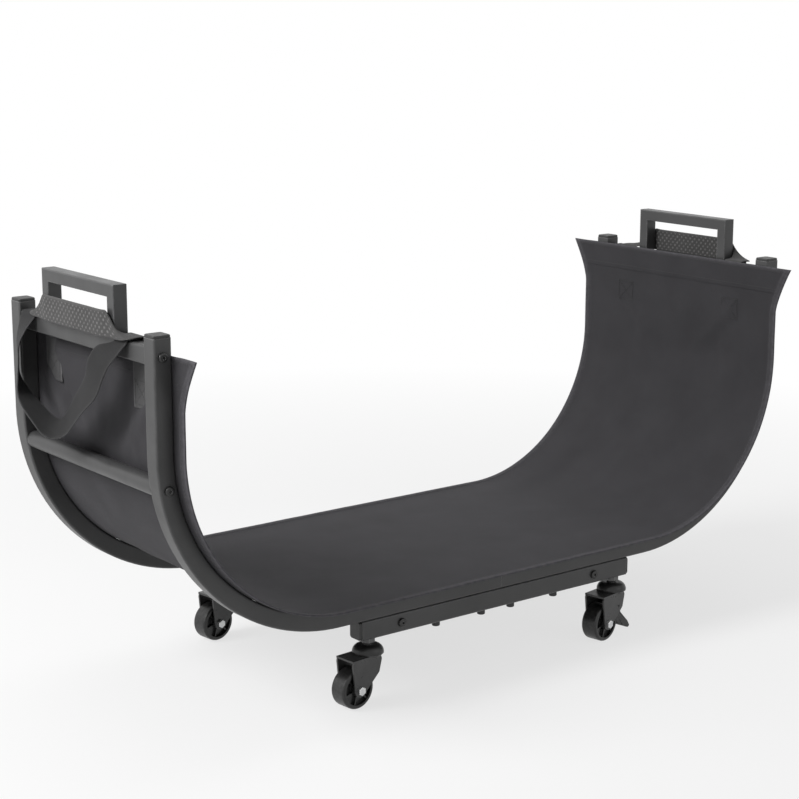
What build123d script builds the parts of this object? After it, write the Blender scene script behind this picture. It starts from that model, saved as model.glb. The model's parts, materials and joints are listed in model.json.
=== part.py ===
from build123d import *
import os
from math import cos, sin, radians, sqrt

# Rolling firewood rack: two hoop frames of square tube, joined into a trough, with a
# lift-out canvas tote, two carrying handles and four swivel casters.
# Millimetres. The origin is on the floor under the middle of the rack.
# X runs along the length, -Y is the front and Z is up.

# Overall sizes
length = 1016.0          # over the outer faces of the uprights
hoop_spacing = 323.0     # between the middle planes of the front and back hoops
hoop_bottom = 110.0      # underside of the hoops above the floor
hoop_top = 494.5         # cut ends of the uprights above the floor
bend_radius = 249.5      # outside of each bend

# Hoop tube
tube = 23.0
tube_wall = 1.5
tube_corner = 2.5
half_gap = 0.4           # hairline between the two halves of a hoop

# Base beams and the cross tubes between them
beam_length = 449.0
beam_height = 25.0
beam_wall = 1.5
cross_tube_x = 163.5     # each side of the middle
cross_tube_side = 20.0
splice_length = 236.0
plug_fit = 0.1           # clearance of a plug or splice in its tube, each side

# End crossbars and round tie tubes
bar_height = 22.0
bar_depth = 17.0
bar_top = 484.0
bar_outset = 2.5         # outer face of the bar inside the outer face of the upright
tie_diameter = 22.0
tie_height = 320.0
end_block = 14.0         # threaded block welded into a tube end

# Carrying handles
handle_top = 544.5
handle_width = 173.0
handle_depth = 18.5
handle_side = 15.5
handle_overhang = 3.0    # handle face outside the face of the bar

# Fasteners
bolt_diameter = 6.0
bolt_clear = 0.2         # radial clearance of a bolt in a drilled hole
thread_clear = 0.05      # radial clearance of a bolt in its thread
button_diameter = 11.5
button_height = 3.3
hex_socket = 4.0
cap_diameter = 10.5
cap_height = 6.5
washer_diameter = 13.0
washer_height = 1.2
beam_bolt_x = (25.0, 100.0)

# Plugs in the open tube ends
plug_cap_height = 3.5    # of the cap that sits flush on the tube end
beam_plug_inset = 0.5    # cap of a beam plug inside the outer face of the beam
plug_dome = 1.5
plug_depth = 9.0

# Casters
caster_x = 208.0
wheel_diameter = 50.0
wheel_width = 24.0
trail = 26.0
axle_diameter = 6.0
running_fit = 0.08       # radial clearance of a turning joint
stem_diameter = 10.0
stem_rise = 18.0         # of the stem above the underside of the beam
nut_across = 16.0
nut_height = 6.0
cup_diameter = 40.0
cup_height = 11.0
fork_plate = 2.5
fork_gap = 1.5           # between the wheel and a fork leg
fork_crown_under = 62.5  # underside of the crown above the floor
headings = {"fl": 5.0, "fr": 10.0, "bl": 7.0, "br": 6.0}

# Brake pedals on the two right-hand casters
pedal_pin = (-2.0, 44.5)
pedal_tip = (19.0, 10.0)
pedal_width = 38.0
pedal_plate = 2.0
pedal_lift = 1.2         # of the plate's face above the middle of the pin
shoe_gap = 0.3           # between the brake shoe and the tread

# Canvas tote
canvas = 1.8
cloth_gap = 0.4          # between cloth and steel
canvas_half = 198.0      # half width of the trough cloth
hem_half = 221.0         # half width at the top hems
hem_low_half = 208.0     # half width at the foot of a hem
hem_depth = 36.0
flare_depth = 62.0       # height over which the cloth widens
canvas_top_left = 473.0
canvas_top_right = 488.0
edge_roll = 6.0          # inward roll of the front and back edges
edge_roll_width = 16.0
webbing = 38.0
web_thick = 1.6
strap_thick = 2.0
tab_bottom = 401.0
tab_top = 470.0
tab_y = 106.0
grip_width = 32.0
grip_thick = 6.0
grip_half = 64.0

# Worked-out places
half_length = length / 2
hoop_y = hoop_spacing / 2
upright_x = half_length - tube / 2
bend_x = half_length - bend_radius
bend_z = hoop_bottom + bend_radius
mid_radius = bend_radius - tube / 2
inner_radius = bend_radius - tube
tube_mid_z = hoop_bottom + tube / 2
tube_inner = tube - 2 * tube_wall
beam_bottom = hoop_bottom - beam_height
beam_mid_z = hoop_bottom - beam_height / 2
bar_outer = half_length - bar_outset
bar_inner = bar_outer - bar_depth
bar_mid_x = bar_outer - bar_depth / 2
bar_mid_z = bar_top - bar_height / 2
tie_x = bend_x + sqrt(mid_radius**2 - (bend_z - tie_height) ** 2)
span = hoop_spacing - tube
wheel_radius = wheel_diameter / 2
leg_inside = wheel_width / 2 + fork_gap
leg_outside = leg_inside + fork_plate
crown_top = fork_crown_under + fork_plate
cup_bottom = crown_top + 0.4
cup_top = cup_bottom + cup_height
cloth_radius = inner_radius - cloth_gap
cloth_x = half_length - tube - cloth_gap
grip_x = bar_outer + handle_overhang + 2.6
grip_z = bar_top + 0.4 + grip_width / 2

corners = [("front", "left"), ("front", "right"), ("back", "left"), ("back", "right")]
side_x = {"left": -1, "right": 1}
side_y = {"front": -1, "back": 1}


def box_between(low, high):
    """A box from its lowest corner to its highest corner."""
    size = [h - l for l, h in zip(low, high)]
    middle = [(h + l) / 2 for l, h in zip(low, high)]
    return Pos(*middle) * Box(*size)


def rod(start, end, radius):
    """A round rod from one point to another."""
    start = Vector(*start)
    line = Vector(*end) - start
    plane = Plane(origin=start, z_dir=line)
    return plane * Cylinder(radius, line.length, align=(Align.CENTER, Align.CENTER, Align.MIN))


def hollow_section(plane, across, along, wall, corner):
    """A rounded rectangular tube section as a face with a hole."""
    outer = RectangleRounded(across, along, corner)
    inner = Rectangle(across - 2 * wall, along - 2 * wall)
    return plane * (outer - inner)


def straight_tube(start, end, across, along, wall, corner, x_dir):
    """A straight hollow tube, with x_dir the direction of its first size."""
    line = Vector(*end) - Vector(*start)
    plane = Plane(origin=start, x_dir=x_dir, z_dir=line)
    return extrude(hollow_section(plane, across, along, wall, corner), amount=line.length)


def hoop_half(side, front):
    """One bent half of a hoop: upright, bend and half of the flat bottom."""
    sx, y = side_x[side], side_y[front] * hoop_y
    top = Vector(sx * upright_x, y, hoop_top)
    spring = Vector(sx * upright_x, y, bend_z)
    middle = Vector(sx * (bend_x + mid_radius * cos(radians(45))), y, bend_z - mid_radius * sin(radians(45)))
    foot = Vector(sx * bend_x, y, tube_mid_z)
    end = Vector(sx * half_gap / 2, y, tube_mid_z)
    path = Wire([Line(top, spring).edge(), ThreePointArc(spring, middle, foot).edge(), Line(foot, end).edge()])
    section = hollow_section(Plane(origin=top, x_dir=(1, 0, 0), z_dir=(0, 0, -1)), tube, tube, tube_wall, tube_corner)
    half = sweep(section, path)
    drill = bolt_diameter / 2 + bolt_clear
    half -= rod((sx * bar_mid_x, y - tube, bar_mid_z), (sx * bar_mid_x, y + tube, bar_mid_z), drill)
    half -= rod((sx * tie_x, y - tube, tie_height), (sx * tie_x, y + tube, tie_height), drill)
    for x in beam_bolt_x:
        half -= rod((sx * x, y, hoop_bottom - 1), (sx * x, y, tube_mid_z), drill)
    return half


def hoop_splice(front):
    """The sleeve inside the flat bottom that joins the two halves of a hoop."""
    y = side_y[front] * hoop_y
    side = tube_inner - 2 * plug_fit
    sleeve = box_between(
        (-splice_length / 2, y - side / 2, tube_mid_z - side / 2),
        (splice_length / 2, y + side / 2, tube_mid_z + side / 2),
    )
    sleeve -= Pos(0, y, tube_mid_z) * Box(splice_length + 2, side - 8, side - 8)
    for x in beam_bolt_x:
        for sx in (-1, 1):
            sleeve -= rod((sx * x, y, hoop_bottom), (sx * x, y, tube_mid_z), bolt_diameter / 2 + thread_clear)
    return sleeve


def base_beam(front):
    """The straight beam bolted under a hoop, drilled for its bolts and caster stems."""
    y = side_y[front] * hoop_y
    beam = straight_tube((-beam_length / 2, y, beam_mid_z), (beam_length / 2, y, beam_mid_z),
                         tube, beam_height, beam_wall, tube_corner, (0, 1, 0))
    drill = bolt_diameter / 2 + bolt_clear
    for sx in (-1, 1):
        for x in beam_bolt_x:
            beam -= rod((sx * x, y, beam_bottom - 1), (sx * x, y, hoop_bottom + 1), drill)
        beam -= rod((sx * cross_tube_x, y - tube, beam_mid_z), (sx * cross_tube_x, y + tube, beam_mid_z), drill)
        beam -= rod((sx * caster_x, y, beam_bottom - 1), (sx * caster_x, y, beam_mid_z),
                    stem_diameter / 2 + bolt_clear)
    return beam


def between_hoops(x, z, shape, bore_depth):
    """Bore the two threaded ends that the bolts of a tube between the hoops screw into."""
    for sy in (-1, 1):
        shape -= rod((x, sy * (span / 2 - bore_depth), z), (x, sy * (span / 2 + 1), z),
                     bolt_diameter / 2 + thread_clear)
    return shape


def crossbar(side):
    """The rectangular bar between two uprights, closed by threaded end blocks."""
    sx = side_x[side]
    x = sx * bar_mid_x
    bar = straight_tube((x, -span / 2, bar_mid_z), (x, span / 2, bar_mid_z),
                        bar_depth, bar_height, tube_wall, tube_corner, (1, 0, 0))
    for sy in (-1, 1):
        bar += Pos(x, sy * (span / 2 - end_block / 2), bar_mid_z) * Box(
            bar_depth - 2 * tube_wall, end_block, bar_height - 2 * tube_wall)
    return between_hoops(x, bar_mid_z, bar, end_block - 2)


def tie_tube(side):
    """The round tube low between two uprights, closed by threaded end blocks."""
    x = side_x[side] * tie_x
    outer = rod((x, -span / 2, tie_height), (x, span / 2, tie_height), tie_diameter / 2)
    inner = rod((x, -span / 2 + end_block, tie_height), (x, span / 2 - end_block, tie_height),
                tie_diameter / 2 - tube_wall)
    outer -= inner
    return between_hoops(x, tie_height, outer, end_block + 2)


def cross_tube(side):
    """The square tube between the two base beams."""
    x = side_x[side] * cross_tube_x
    outer = straight_tube((x, -span / 2, beam_mid_z), (x, span / 2, beam_mid_z),
                          cross_tube_side, cross_tube_side, tube_wall, tube_corner, (1, 0, 0))
    for sy in (-1, 1):
        outer += Pos(x, sy * (span / 2 - end_block / 2), beam_mid_z) * Box(
            cross_tube_side - 2 * tube_wall, end_block, cross_tube_side - 2 * tube_wall)
    return between_hoops(x, beam_mid_z, outer, end_block - 2)


def handle(side):
    """The inverted U of rectangular tube welded on a crossbar, open into the bar below."""
    sx = side_x[side]
    x = sx * (bar_outer + handle_overhang - handle_depth / 2)
    rise = handle_top - bar_top
    plane = Plane(origin=(x, 0, bar_top), x_dir=(0, 1, 0), z_dir=(1, 0, 0))

    def arch(inset, depth):
        outline = Pos(0, (rise - inset) / 2) * Rectangle(handle_width - 2 * inset, rise - inset)
        window_height = rise - handle_side + inset
        window_width = handle_width - 2 * handle_side + 2 * inset
        outline -= Pos(0, window_height / 2) * Rectangle(window_width, window_height)
        return extrude(plane * outline, amount=depth / 2, both=True)

    body = arch(0.0, handle_depth)
    long_edges = body.edges().filter_by(lambda e: e.length > 20).filter_by(lambda e: abs(
        abs(e.center().X - x) - handle_depth / 2) < 0.01)
    body = fillet(long_edges, 1.5)
    return body - arch(tube_wall, handle_depth - 2 * tube_wall)


def square_plug(plane, across, along, inner_across, inner_along):
    """A plastic plug: domed cap on the tube end and a stalk inside it."""
    cap = extrude(plane * RectangleRounded(across, along, 4.0), amount=plug_cap_height)
    cap = fillet(cap.faces().sort_by(lambda f: (f.center() - plane.origin).dot(plane.z_dir))[-1].edges(), plug_dome)
    stalk = extrude(plane * Rectangle(inner_across - 2 * plug_fit, inner_along - 2 * plug_fit), amount=-plug_depth)
    return cap + stalk


def button_bolt(start, direction, reach):
    """A socket button-head bolt whose head sits on start and whose shank runs along direction."""
    along = Vector(*direction)
    seat = Vector(*start)
    head_plane = Plane(origin=seat, z_dir=-along)
    head = head_plane * Cylinder(button_diameter / 2, button_height, align=(Align.CENTER, Align.CENTER, Align.MIN))
    head = fillet(head.faces().sort_by(lambda f: (f.center() - seat).dot(-along))[-1].edges(), 1.8)
    socket = extrude(Plane(origin=seat - along * button_height, z_dir=along)
                     * RegularPolygon(hex_socket / 2, 6, major_radius=False), amount=2.0)
    head -= socket
    shank = rod(tuple(seat), tuple(seat + along * reach), bolt_diameter / 2)
    return head + shank


def cap_bolt(x, y, reach):
    """A socket cap bolt with its washer, screwed up from under a beam."""
    head_top = beam_bottom
    washer = Pos(x, y, head_top - washer_height / 2) * Cylinder(washer_diameter / 2, washer_height)
    head_plane = Plane(origin=(x, y, head_top - washer_height), z_dir=(0, 0, -1))
    head = head_plane * Cylinder(cap_diameter / 2, cap_height, align=(Align.CENTER, Align.CENTER, Align.MIN))
    head = fillet(head.faces().sort_by(Axis.Z)[0].edges(), 1.2)
    head -= extrude(Plane(origin=(x, y, head_top - washer_height - cap_height), z_dir=(0, 0, 1))
                    * RegularPolygon(2.5, 6, major_radius=False), amount=3.0)
    shank = rod((x, y, head_top - washer_height), (x, y, head_top + reach), bolt_diameter / 2)
    return washer + head + shank


# Casters are drawn about their own stem: trailing towards -X, wheel on the floor
def wheel_shape():
    """A hard wheel with rounded shoulders, a dished face on each side and six ribs."""
    half = wheel_width / 2
    dish, hub, rim = 5.0, 8.5, wheel_radius - 5.0
    bore = axle_diameter / 2 + running_fit
    shoulder = 3.0
    with BuildPart() as wheel:
        with BuildSketch(Plane.XZ):
            with BuildLine():
                Polyline(
                    (bore, -half - 0.8), (hub, -half - 0.8), (hub + 0.6, -half + dish), (rim - 0.6, -half + dish),
                    (rim, -half), (wheel_radius - shoulder, -half))
                RadiusArc((wheel_radius - shoulder, -half), (wheel_radius, -half + shoulder), -shoulder)
                Line((wheel_radius, -half + shoulder), (wheel_radius, half - shoulder))
                RadiusArc((wheel_radius, half - shoulder), (wheel_radius - shoulder, half), -shoulder)
                Polyline(
                    (wheel_radius - shoulder, half), (rim, half), (rim - 0.6, half - dish), (hub + 0.6, half - dish),
                    (hub, half + 0.8), (bore, half + 0.8), (bore, -half - 0.8))
            make_face()
        revolve(axis=Axis.Z)
    body = wheel.part
    rib_depth = dish - 1.5
    for side in (-1, 1):
        for turn in range(6):
            rib = Pos((hub + rim) / 2, 0, side * (half - dish + rib_depth / 2)) * Box(rim - hub, 1.8, rib_depth)
            body += Rot(0, 0, 60 * turn + 15) * rib
    axle_turn = Rot(90, 0, 0)
    return Pos(-trail, 0, wheel_radius) * (axle_turn * body)


def fork_shape(with_pin):
    """The pressed yoke: a round-ended crown and two legs that reach back to the axle."""
    crown_length = trail + 12
    crown_end = leg_outside
    crown = extrude(
        Plane.XY.offset(fork_crown_under)
        * (Pos(-crown_length / 2, 0) * Rectangle(crown_length, 2 * leg_outside) + Circle(crown_end)),
        amount=fork_plate,
    )
    race = Pos(0, 0, crown_top - fork_plate / 2) * Cylinder(cup_diameter / 2 - 2.5, fork_plate)
    crown += race
    ear = 8.5
    profile = make_hull(
        [Pos(-trail, wheel_radius) * Circle(ear).edge(), Pos(-trail - 6, crown_top - 6) * Circle(6).edge(),
         Pos(3, crown_top - 6) * Circle(6).edge(), Pos(pedal_pin[0] + 2, pedal_pin[1] + 1) * Circle(5.5).edge()]
    )
    legs = []
    for sy in (-1, 1):
        plane = Plane(origin=(0, sy * leg_inside, 0), x_dir=(1, 0, 0), z_dir=(0, -1, 0))
        leg = extrude(plane * profile, amount=-sy * fork_plate)
        legs.append(leg)
    fork = crown + legs[0] + legs[1]
    fork = fork & box_between((-80, -60, 0), (60, 60, crown_top))
    fork -= rod((0, 0, fork_crown_under - 5), (0, 0, crown_top + 5), 4.0 + running_fit)
    fork -= rod((-trail, -40, wheel_radius), (-trail, 40, wheel_radius), axle_diameter / 2 + thread_clear)
    if with_pin:
        fork += rod((pedal_pin[0], -leg_outside - 1, pedal_pin[1]), (pedal_pin[0], leg_outside + 1, pedal_pin[1]), 2.0)
    return fork


def axle_shape():
    """The zinc axle bolt: hex head and washer on one side, lock nut on the other."""
    seat = leg_outside
    plane = Plane(origin=(-trail, -seat, wheel_radius), z_dir=(0, -1, 0))
    head = extrude(plane * RegularPolygon(5.0, 6, major_radius=False), amount=4.0)
    head = chamfer(head.faces().sort_by(Axis.Y)[0].edges(), 0.6)
    far = Plane(origin=(-trail, seat, wheel_radius), z_dir=(0, 1, 0))
    nut = extrude(far * RegularPolygon(5.0, 6, major_radius=False), amount=5.0)
    shank = rod((-trail, -seat, wheel_radius), (-trail, seat + 6.5, wheel_radius), axle_diameter / 2)
    return head + shank + nut


def stem_shape():
    """The fixed part of a caster: threaded stem, hex nut and domed ball cup, riveted below."""
    with BuildPart() as cup:
        with BuildSketch(Plane.XZ):
            with BuildLine():
                Line((0, cup_top), (10.0, cup_top))
                ThreePointArc((10.0, cup_top), (17.2, cup_top - 3.0), (cup_diameter / 2, cup_bottom + 2.0))
                Polyline((cup_diameter / 2, cup_bottom + 2.0), (cup_diameter / 2, cup_bottom), (0, cup_bottom))
                Line((0, cup_bottom), (0, cup_top))
            make_face()
        revolve(axis=Axis.Z)
    nut = extrude(Plane.XY.offset(beam_bottom - nut_height) * RegularPolygon(nut_across / 2, 6, major_radius=False),
                  amount=nut_height)
    spacer = rod((0, 0, cup_top - 1), (0, 0, beam_bottom - nut_height + 1), 6.5)
    stem = rod((0, 0, beam_bottom - 1), (0, 0, beam_bottom + stem_rise), stem_diameter / 2)
    rivet = rod((0, 0, fork_crown_under - 3.0), (0, 0, cup_bottom + 1), 4.0)
    rivet_head = rod((0, 0, fork_crown_under - 3.0), (0, 0, fork_crown_under - 0.4), 7.0)
    return cup.part + nut + spacer + stem + rivet + rivet_head


def pedal_shape():
    """The brake lever: a barrel with a shoe on the pin and a plate that widens to the toe."""
    pin_x, pin_z = pedal_pin
    tip_x, tip_z = pedal_tip
    reach = sqrt((tip_x - pin_x) ** 2 + (tip_z - pin_z) ** 2)
    barrel_radius = sqrt((pin_x + trail) ** 2 + (pin_z - wheel_radius) ** 2) - wheel_radius - shoe_gap
    barrel_half = leg_inside - 0.8
    barrel = rod((pin_x, -barrel_half, pin_z), (pin_x, barrel_half, pin_z), barrel_radius)
    slope = Vector(tip_x - pin_x, 0, tip_z - pin_z) / reach
    square = Vector(slope.Z, 0, -slope.X)
    plane = Plane(origin=(pin_x, 0, pin_z), x_dir=(0, 1, 0), z_dir=-square)
    narrow = barrel_half
    wide = pedal_width / 2
    outline = make_face(Polyline(
        (-narrow, 0), (narrow, 0), (narrow, -14), (wide, -reach + 12), (wide, -reach), (-wide, -reach),
        (-wide, -reach + 12), (-narrow, -14), (-narrow, 0)))
    toe = [v for v in outline.vertices() if v.Y < -reach + 1]
    outline = fillet(toe, 5.0)
    plate = Pos(*(square * pedal_lift)) * extrude(plane * outline, amount=pedal_plate)
    lever = barrel + plate
    for slot in (-8.0, 0.0, 8.0):
        groove = plane * (Pos(slot, -reach + 8) * Box(3.0, 9.0, 1.0))
        lever -= Pos(*(square * pedal_lift)) * groove
    return lever - rod((pin_x, -40, pin_z), (pin_x, 40, pin_z), 2.0 + running_fit)


def place_caster(shape, name):
    """Turn a caster piece to its heading and set it under its corner of the base."""
    front = "front" if name[0] == "f" else "back"
    side = "left" if name[1] == "l" else "right"
    return Pos(side_x[side] * caster_x, side_y[front] * hoop_y, 0) * (Rot(0, 0, headings[name]) * shape)


# Tote: one canvas trough, four sewn tabs, two grips on webbing and two long straps
def trough_section(plane):
    """The thin outline of the cloth across the trough, with both edges rolled inwards."""
    start = edge_roll_width
    outer = [(-canvas_half, edge_roll), (-canvas_half + start, 0), (canvas_half - start, 0), (canvas_half, edge_roll)]
    inner = [(y, n + canvas) for y, n in reversed(outer)]
    return make_face(plane * Polyline(*outer, *inner, close=True))


def canvas_sheet():
    """The trough cloth: rolled section along the hoops, flared flat leaves above."""
    low = {"left": canvas_top_left - flare_depth, "right": canvas_top_right - flare_depth}
    start = Vector(-cloth_x, 0, low["left"])
    spring_left = Vector(-cloth_x, 0, bend_z)
    foot_left = Vector(-bend_x, 0, bend_z - cloth_radius)
    foot_right = Vector(bend_x, 0, bend_z - cloth_radius)
    spring_right = Vector(cloth_x, 0, bend_z)
    end = Vector(cloth_x, 0, low["right"])
    slant = cloth_radius * cos(radians(45))
    middle_left = Vector(-bend_x - slant, 0, bend_z - slant)
    middle_right = Vector(bend_x + slant, 0, bend_z - slant)
    path = Wire([
        Line(start, spring_left).edge(), ThreePointArc(spring_left, middle_left, foot_left).edge(),
        Line(foot_left, foot_right).edge(), ThreePointArc(foot_right, middle_right, spring_right).edge(),
        Line(spring_right, end).edge()])
    sheet = sweep(trough_section(Plane(origin=start, x_dir=(0, 1, 0), z_dir=(0, 0, -1))), path)
    for side, top in (("left", canvas_top_left), ("right", canvas_top_right)):
        base = low[side]
        leaf = make_face(Polyline(
            (-canvas_half, base), (canvas_half, base), (hem_low_half, top - hem_depth), (hem_half, top),
            (-hem_half, top), (-hem_low_half, top - hem_depth), close=True))
        plane = Plane(origin=(side_x[side] * cloth_x, 0, 0), x_dir=(0, -side_x[side], 0), z_dir=(-side_x[side], 0, 0))
        sheet += extrude(plane * leaf, amount=canvas)
    return sheet


def ribbon(points, across, facing, width, thick):
    """A strap lofted through thin rectangles, one at each point, by width and facing directions."""
    sections = []
    for point, side, face in zip(points, across, facing):
        side = Vector(*side).normalized()
        plane = Plane(origin=point, x_dir=side, z_dir=side.cross(Vector(*face)))
        sections.append(plane * Rectangle(width, thick))
    return loft(sections, ruled=True)


def at_end(side, shape):
    """Keep a piece drawn for the right-hand end, or mirror it to the left-hand end."""
    return shape if side == "right" else mirror(shape, Plane.YZ)


def tote_tabs(side):
    """The two webbing tabs sewn on the outer face of the cloth below a crossbar."""
    tab = box_between((cloth_x, tab_y - webbing / 2, tab_bottom), (cloth_x + web_thick, tab_y + webbing / 2, tab_top))
    return [at_end(side, tab), at_end(side, mirror(tab, Plane.XZ))]


def grip_webbing(side):
    """The two ends of a grip: up from a tab, over the bar and twisting to stand along it."""
    flat = cloth_x + web_thick / 2 + 0.1
    over = bar_top + 4.4
    points = [
        (flat, tab_y, tab_top + 0.1), (flat, tab_y, bar_top - 2), (flat + 0.5, tab_y, bar_top + 1.4),
        (bar_inner + 1, tab_y, over - 0.3), (bar_mid_x, tab_y, over), (bar_outer - 1, tab_y, over + 1.3),
        (grip_x - 1.5, tab_y - 4, over + 4), (grip_x - 0.3, tab_y - 14, grip_z - 4),
        (grip_x, grip_half + 16, grip_z - 0.8), (grip_x, grip_half + 0.1, grip_z)]
    across = [(0, 1, 0)] * 5 + [(0.03, 1, -0.1), (0.04, 0.93, -0.36), (0.02, 0.62, -0.79), (0, 0.28, -0.96), (0, 0, -1)]
    facing = [(-1, 0, 0), (-1, 0, 0), (-0.9, 0, 0.45), (-0.3, 0, 0.95), (0, 0, 1), (0.2, 0, 1), (0.9, 0.1, 0.4),
              (1, 0, 0), (1, 0, 0), (1, 0, 0)]
    end = ribbon(points, across, facing, grip_width, web_thick)
    return [at_end(side, end), at_end(side, mirror(end, Plane.XZ))]


def grip_pad(side):
    """The padded sleeve that stands on the crossbar outside the handle posts."""
    middle = grip_x - web_thick / 2 + grip_thick / 2
    pad = Pos(middle, 0, grip_z) * Box(grip_thick, 2 * grip_half, grip_width)
    return at_end(side, fillet(pad.edges().filter_by(Axis.Y), 2.2))


def long_strap(side):
    """The long carrying strap: over the bar, bulging out, down to a low loop and back up."""
    lie = bar_top + 0.3 + strap_thick / 2
    face = bar_outer + 0.7 + strap_thick / 2
    points = [
        (bar_inner + 0.5, -108, lie), (bar_outer - 1, -107, lie + 0.3), (face + 0.2, -107, lie - 0.6),
        (face + 0.6, -107, lie - 4.6), (511, -105.5, 476), (516, -88, 469.5), (518.5, -72, 460), (520.5, -60, 443),
        (521, -50, 424), (520.5, -28, 406), (519, -6, 388), (519, 14, 370), (522.5, 27, 361.5), (526.5, 38, 360),
        (528.5, 56, 366), (528, 83, 377), (524.5, 115, 390), (520, 135, 405), (519, 136, 426), (518.5, 136, 447),
        (515, 130, 466), (face + 0.6, 127, lie - 4.6), (face + 0.2, 126, lie - 0.6), (bar_outer - 1, 125, lie + 0.3),
        (bar_inner + 0.5, 125, lie)]
    across = [
        (0, -1, 0), (0, -1, 0), (0, -1, 0), (0, -1, 0), (0, -1, -0.05), (0, -0.95, -0.3), (0, -0.92, -0.4),
        (0, -0.88, -0.47), (0.12, -0.82, -0.56), (0.3, -0.62, -0.72), (0.36, -0.56, -0.74), (0.44, -0.51, -0.74),
        (0.65, -0.42, -0.62), (0.85, -0.35, -0.35), (0.93, -0.3, 0), (0.93, -0.27, 0.2), (0.75, -0.65, 0.1),
        (0.5, -0.87, 0), (0.45, -0.89, 0), (0.4, -0.92, 0), (0.25, -0.97, 0), (0, -1, 0), (0, -1, 0), (0, -1, 0),
        (0, -1, 0)]
    facing = []
    for i, side_way in enumerate(across):
        run = Vector(*points[min(i + 1, len(points) - 1)]) - Vector(*points[max(i - 1, 0)])
        facing.append(tuple(run.cross(Vector(*side_way))))
    return at_end(side, ribbon(points, across, facing, webbing, strap_thick))


os.makedirs("parts", exist_ok=True)


def write(name, *solids):
    """Write one node as a STEP file."""
    flat = []
    for shape in solids:
        flat.extend(shape.solids())
    whole = flat[0] if len(flat) == 1 else Compound(children=flat)
    whole.label = name
    export_step(whole, f"parts/{name}.step")


for front, side in corners:
    write(f"hoop_{front}_{side}", hoop_half(side, front))
for front in ("front", "back"):
    write(f"hoop_splice_{front}", hoop_splice(front))
    write(f"base_beam_{front}", base_beam(front))
for side in ("left", "right"):
    write(f"crossbar_{side}", crossbar(side))
    write(f"tie_tube_{side}", tie_tube(side))
    write(f"base_cross_tube_{side}", cross_tube(side))
    write(f"handle_{side}", handle(side))

write("upright_plugs", *[
    square_plug(Plane(origin=(side_x[s] * upright_x, side_y[f] * hoop_y, hoop_top)),
                tube, tube, tube_inner, tube_inner)
    for f, s in corners])
write("beam_end_plugs", *[
    square_plug(Plane(origin=(side_x[s] * beam_length / 2, side_y[f] * hoop_y, beam_mid_z),
                      x_dir=(0, 1, 0), z_dir=(side_x[s], 0, 0)),
                tube - 2 * beam_plug_inset, beam_height - 2 * beam_plug_inset,
                tube - 2 * beam_wall, beam_height - 2 * beam_wall)
    for f, s in corners])
write("crossbar_bolts", *[
    button_bolt((side_x[s] * bar_mid_x, side_y[f] * (hoop_y + tube / 2), bar_mid_z),
                (0, -side_y[f], 0), tube + end_block - 4) for f, s in corners])
write("tie_tube_bolts", *[
    button_bolt((side_x[s] * tie_x, side_y[f] * (hoop_y + tube / 2), tie_height),
                (0, -side_y[f], 0), tube + end_block - 4) for f, s in corners])
write("base_cross_bolts", *[
    button_bolt((side_x[s] * cross_tube_x, side_y[f] * (hoop_y + tube / 2), beam_mid_z),
                (0, -side_y[f], 0), tube + end_block - 4) for f, s in corners])
write("beam_bolts", *[
    cap_bolt(sx * x, side_y[f] * hoop_y, beam_height + tube_wall + 4.5)
    for f in ("front", "back") for sx in (-1, 1) for x in beam_bolt_x])

write("caster_stems", *[place_caster(stem_shape(), name) for name in headings])
for name in headings:
    braked = name[1] == "r"
    write(f"caster_{name}_fork", place_caster(fork_shape(braked), name))
    write(f"caster_{name}_wheel", place_caster(wheel_shape(), name))
    write(f"caster_{name}_axle", place_caster(axle_shape(), name))
    if braked:
        write(f"caster_{name}_brake_pedal", place_caster(pedal_shape(), name))

write("tote_canvas", canvas_sheet())
for side in ("left", "right"):
    write(f"tote_tabs_{side}", *tote_tabs(side))
    write(f"tote_grip_webbing_{side}", *grip_webbing(side))
    write(f"tote_grip_pad_{side}", grip_pad(side))
    write(f"tote_strap_{side}", long_strap(side))
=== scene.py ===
# %% [markdown]
# # A rolling firewood rack, and how its looks are made
# The steel frame, the casters and the bolts come finished from the CAD model as a fixed frame.
# Blender gives them their powder coat, plastic, rubber and zinc, and it makes everything that is
# sewn: the canvas trough, its hems and stitches, the webbing tabs, the grips and the long straps.
# All lengths are metres, +X runs along the rack, -Y is its front and +Z is up.

# %% Load the fixed frame
import json
import math

import bpy
import numpy as np
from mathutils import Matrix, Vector, noise


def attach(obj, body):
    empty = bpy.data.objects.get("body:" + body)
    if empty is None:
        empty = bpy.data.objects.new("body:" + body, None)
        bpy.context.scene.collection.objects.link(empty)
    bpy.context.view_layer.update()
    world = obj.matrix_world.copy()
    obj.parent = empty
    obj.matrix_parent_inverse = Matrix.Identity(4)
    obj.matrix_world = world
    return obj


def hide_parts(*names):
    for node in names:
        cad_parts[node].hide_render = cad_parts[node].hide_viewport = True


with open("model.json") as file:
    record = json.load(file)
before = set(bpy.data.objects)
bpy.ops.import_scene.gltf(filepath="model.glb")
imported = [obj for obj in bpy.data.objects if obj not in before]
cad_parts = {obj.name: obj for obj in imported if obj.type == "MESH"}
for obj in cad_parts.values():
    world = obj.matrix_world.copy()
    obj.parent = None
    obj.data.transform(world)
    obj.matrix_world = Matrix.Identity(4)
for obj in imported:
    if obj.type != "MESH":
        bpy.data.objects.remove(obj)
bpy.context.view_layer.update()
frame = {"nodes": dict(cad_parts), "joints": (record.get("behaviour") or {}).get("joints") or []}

# %% [markdown]
# ## The camera
# The photograph was taken from the left front, a little above the handles, with a long lens. The
# place, the two angles and the focal length were solved from the edges of the two hoops. A long
# lens keeps the near and the far hoop nearly the same size.

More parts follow.
